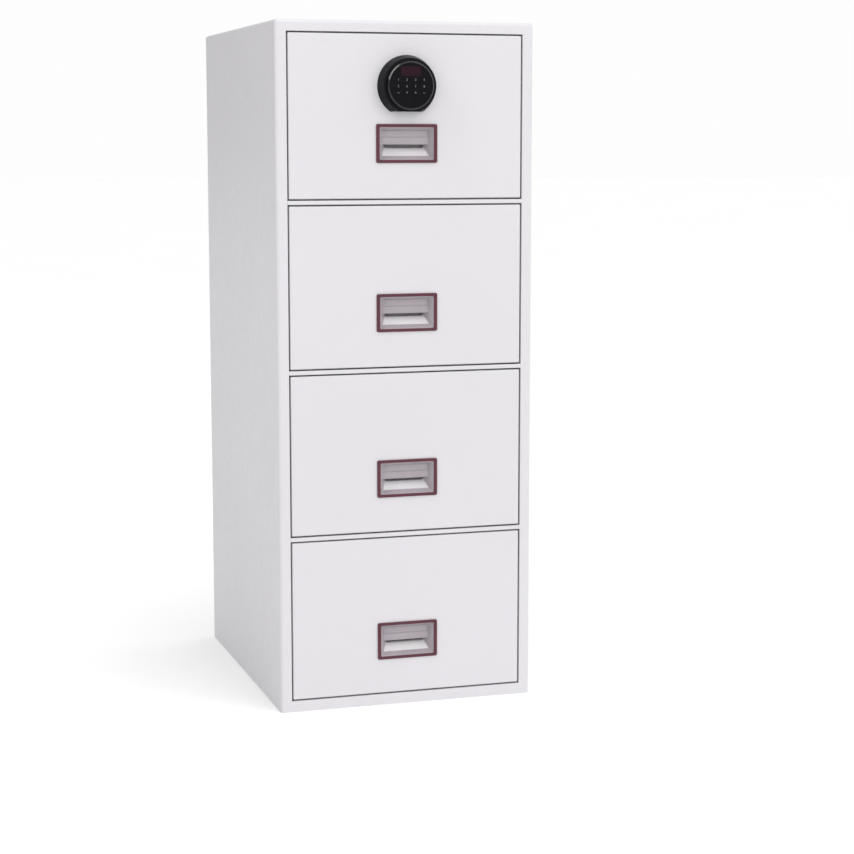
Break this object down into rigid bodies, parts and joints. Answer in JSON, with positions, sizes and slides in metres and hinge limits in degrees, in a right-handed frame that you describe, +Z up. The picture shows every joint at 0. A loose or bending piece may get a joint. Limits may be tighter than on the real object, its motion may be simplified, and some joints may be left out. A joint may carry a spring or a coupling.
{
  "type": "fireproof filing cabinet",
  "caption": "Insulated filing cabinet with drawers on telescopic slides, recessed pull handles, and a turning electronic lock that locks them all.",
  "frame": {"origin": "middle of the footprint, on the floor", "axes": "+Z up, the drawers open towards -Y, +X to the right seen from the front"},
  "size_m": [0.53, 0.7074, 1.375],
  "materials": {
    "white_enamel": "satin powder coat",
    "grey_enamel": "satin powder coat inside the compartments",
    "insulation": "cast gypsum fill",
    "zinc_steel": "zinc plate",
    "seal": "matt strip",
    "nylon": "natural nylon",
    "handle_grey": "satin moulding",
    "handle_rim": "dark satin rim",
    "card": "blank card",
    "lock_black": "satin black",
    "dial_black": "gloss black",
    "touch_glass": "polished black",
    "sensor": "smoked window",
    "cell": "printed sleeve"
  },
  "bodies": {
    "cabinet": {"outer_casing": "white_enamel", "front_dividers": "white_enamel", "rebate_frame": "white_enamel", "back_panel": "white_enamel", "base_pan": "white_enamel", "insulation_panels": "insulation", "compartment_liners": "grey_enamel", "fire_seals": "seal", "cabinet_slide_members": "zinc_steel", "gang_bar_guides": "nylon"},
    "gang_bar": {"gang_bar": "zinc_steel", "gang_bar_studs": "zinc_steel"},
    "lock_dial": {"lock_dial": "dial_black", "touch_panel": "touch_glass", "fingerprint_sensor": "sensor", "lock_spindle": "zinc_steel"},
    "lock_bolt": {"lock_bolt": "zinc_steel"},
    "drawer_1": {"drawer_face_1": "white_enamel", "drawer_insulation_1": "insulation", "drawer_head_shell_1": "grey_enamel", "drawer_tray_1": "grey_enamel", "file_rails_1": "zinc_steel", "drawer_slide_members_1": "zinc_steel", "handle_tub_1": "handle_grey", "handle_trim_1": "handle_rim", "label_card_1": "card", "lock_escutcheon": "lock_black", "lock_case": "zinc_steel", "lock_batteries": "cell"},
    "slide_1": {"slide_middle_members_1": "zinc_steel"},
    "drawer_2": {"drawer_face_2": "white_enamel", "drawer_insulation_2": "insulation", "drawer_head_shell_2": "grey_enamel", "drawer_tray_2": "grey_enamel", "file_rails_2": "zinc_steel", "drawer_slide_members_2": "zinc_steel", "handle_tub_2": "handle_grey", "handle_trim_2": "handle_rim", "label_card_2": "card"},
    "slide_2": {"slide_middle_members_2": "zinc_steel"},
    "drawer_3": {"drawer_face_3": "white_enamel", "drawer_insulation_3": "insulation", "drawer_head_shell_3": "grey_enamel", "drawer_tray_3": "grey_enamel", "file_rails_3": "zinc_steel", "drawer_slide_members_3": "zinc_steel", "handle_tub_3": "handle_grey", "handle_trim_3": "handle_rim", "label_card_3": "card"},
    "slide_3": {"slide_middle_members_3": "zinc_steel"},
    "drawer_4": {"drawer_face_4": "white_enamel", "drawer_insulation_4": "insulation", "drawer_head_shell_4": "grey_enamel", "drawer_tray_4": "grey_enamel", "file_rails_4": "zinc_steel", "drawer_slide_members_4": "zinc_steel", "handle_tub_4": "handle_grey", "handle_trim_4": "handle_rim", "label_card_4": "card"},
    "slide_4": {"slide_middle_members_4": "zinc_steel"}
  },
  "joints": [
    {"name": "drawer_1_travel", "type": "slide", "parent": "cabinet", "child": "drawer_1", "axis": [0, -1, 0], "range_m": [0, 0.5]},
    {"name": "slide_1_travel", "type": "slide", "parent": "cabinet", "child": "slide_1", "axis": [0, -1, 0], "range_m": [0, 0.25]},
    {"name": "drawer_2_travel", "type": "slide", "parent": "cabinet", "child": "drawer_2", "axis": [0, -1, 0], "range_m": [0, 0.5]},
    {"name": "slide_2_travel", "type": "slide", "parent": "cabinet", "child": "slide_2", "axis": [0, -1, 0], "range_m": [0, 0.25]},
    {"name": "drawer_3_travel", "type": "slide", "parent": "cabinet", "child": "drawer_3", "axis": [0, -1, 0], "range_m": [0, 0.5]},
    {"name": "slide_3_travel", "type": "slide", "parent": "cabinet", "child": "slide_3", "axis": [0, -1, 0], "range_m": [0, 0.25]},
    {"name": "drawer_4_travel", "type": "slide", "parent": "cabinet", "child": "drawer_4", "axis": [0, -1, 0], "range_m": [0, 0.5]},
    {"name": "slide_4_travel", "type": "slide", "parent": "cabinet", "child": "slide_4", "axis": [0, -1, 0], "range_m": [0, 0.25]},
    {"name": "dial_turn", "type": "hinge", "parent": "drawer_1", "child": "lock_dial", "pos_m": [0, -0.3375, 1.249], "axis": [0, 1, 0], "range_deg": [0, 90]},
    {"name": "bolt_throw", "type": "slide", "parent": "drawer_1", "child": "lock_bolt", "axis": [1, 0, 0], "range_m": [0, 0.00943]},
    {"name": "gang_bar_lift", "type": "slide", "parent": "cabinet", "child": "gang_bar", "axis": [0, 0, 1], "range_m": [0, 0.00943]}
  ],
  "couplings": [
    {"joint": "slide_1_travel", "follows": "drawer_1_travel", "ratio": 0.5},
    {"joint": "slide_2_travel", "follows": "drawer_2_travel", "ratio": 0.5},
    {"joint": "slide_3_travel", "follows": "drawer_3_travel", "ratio": 0.5},
    {"joint": "slide_4_travel", "follows": "drawer_4_travel", "ratio": 0.5},
    {"joint": "bolt_throw", "follows": "dial_turn", "m_per_rad": 0.006},
    {"joint": "gang_bar_lift", "follows": "dial_turn", "m_per_rad": 0.006}
  ]
}
